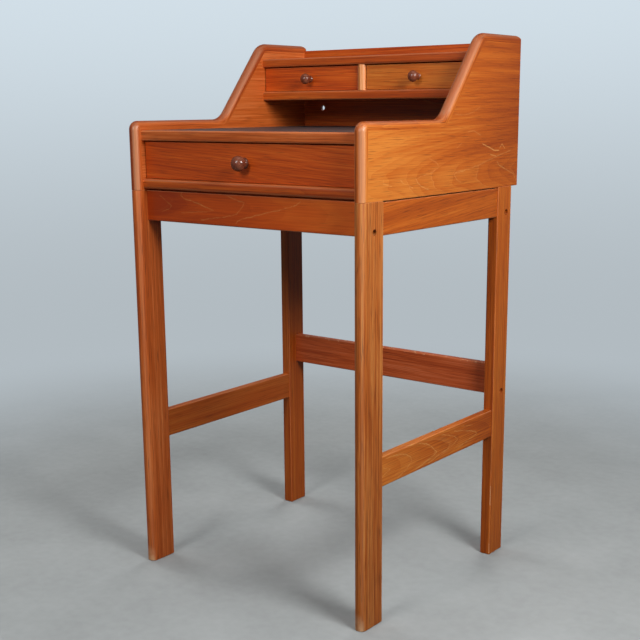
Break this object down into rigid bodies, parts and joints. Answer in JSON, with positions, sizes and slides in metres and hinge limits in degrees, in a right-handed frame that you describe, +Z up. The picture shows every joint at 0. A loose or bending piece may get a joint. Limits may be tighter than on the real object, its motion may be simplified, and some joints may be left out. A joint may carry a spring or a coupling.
{
  "type": "standing desk",
  "caption": "Tall wooden standing desk: a drawer case with sloping side panels, an inset writing surface and raised small drawers, on a frame of flat legs and rails.",
  "frame": {"origin": "on the floor, under the middle of the desk", "axes": "+X to the right as the user stands at the desk, +Y from the front to the back, +Z up"},
  "size_m": [0.6, 0.568, 1.128],
  "materials": {
    "teak_panels": "oiled, satin",
    "teak_frame": "oiled, satin",
    "teak_back_veneer": "oiled veneer",
    "board_core": "plain",
    "writing_linoleum": "matte linoleum",
    "bright_steel": "zinc plated",
    "beech_dowels": "plain",
    "teak_drawer_fronts": "oiled, satin",
    "pale_drawer_wood": "waxed",
    "drawer_plywood": "plain",
    "dark_turned_knobs": "turned, polished"
  },
  "bodies": {
    "desk": {"left_side_panel": "teak_panels", "right_side_panel": "teak_panels", "left_side_lipping": "teak_panels", "right_side_lipping": "teak_panels", "case_bottom_board": "teak_panels", "writing_board_lipping": "teak_panels", "small_drawer_shelf": "teak_panels", "top_board": "teak_panels", "drawer_divider": "teak_panels", "front_left_leg": "teak_frame", "front_right_leg": "teak_frame", "rear_left_leg": "teak_frame", "rear_right_leg": "teak_frame", "front_apron": "teak_frame", "rear_apron": "teak_frame", "left_side_apron": "teak_frame", "right_side_apron": "teak_frame", "left_side_stretcher": "teak_frame", "right_side_stretcher": "teak_frame", "rear_stretcher": "teak_frame", "back_panel": "teak_back_veneer", "writing_board": "board_core", "writing_inlay": "writing_linoleum", "frame_bolts": "bright_steel", "barrel_nuts": "bright_steel", "back_panel_screws": "bright_steel", "rail_dowels": "beech_dowels", "leg_dowels": "beech_dowels"},
    "main_drawer": {"main_drawer_front": "teak_drawer_fronts", "main_drawer_left_side": "pale_drawer_wood", "main_drawer_right_side": "pale_drawer_wood", "main_drawer_back": "pale_drawer_wood", "main_drawer_bottom": "drawer_plywood", "main_drawer_knob": "dark_turned_knobs", "main_drawer_knob_screw": "bright_steel"},
    "left_small_drawer": {"left_small_drawer_front": "teak_drawer_fronts", "left_small_drawer_left_side": "pale_drawer_wood", "left_small_drawer_right_side": "pale_drawer_wood", "left_small_drawer_back": "pale_drawer_wood", "left_small_drawer_bottom": "drawer_plywood", "left_small_drawer_knob": "dark_turned_knobs", "left_small_drawer_knob_screw": "bright_steel"},
    "right_small_drawer": {"right_small_drawer_front": "teak_drawer_fronts", "right_small_drawer_left_side": "pale_drawer_wood", "right_small_drawer_right_side": "pale_drawer_wood", "right_small_drawer_back": "pale_drawer_wood", "right_small_drawer_bottom": "drawer_plywood", "right_small_drawer_knob": "dark_turned_knobs", "right_small_drawer_knob_screw": "bright_steel"}
  },
  "joints": [
    {"name": "main_drawer_slide", "type": "slide", "parent": "desk", "child": "main_drawer", "axis": [0, -1, 0], "range_m": [0, 0.34]},
    {"name": "left_small_drawer_slide", "type": "slide", "parent": "desk", "child": "left_small_drawer", "axis": [0, -1, 0], "range_m": [0, 0.09]},
    {"name": "right_small_drawer_slide", "type": "slide", "parent": "desk", "child": "right_small_drawer", "axis": [0, -1, 0], "range_m": [0, 0.09]}
  ]
}
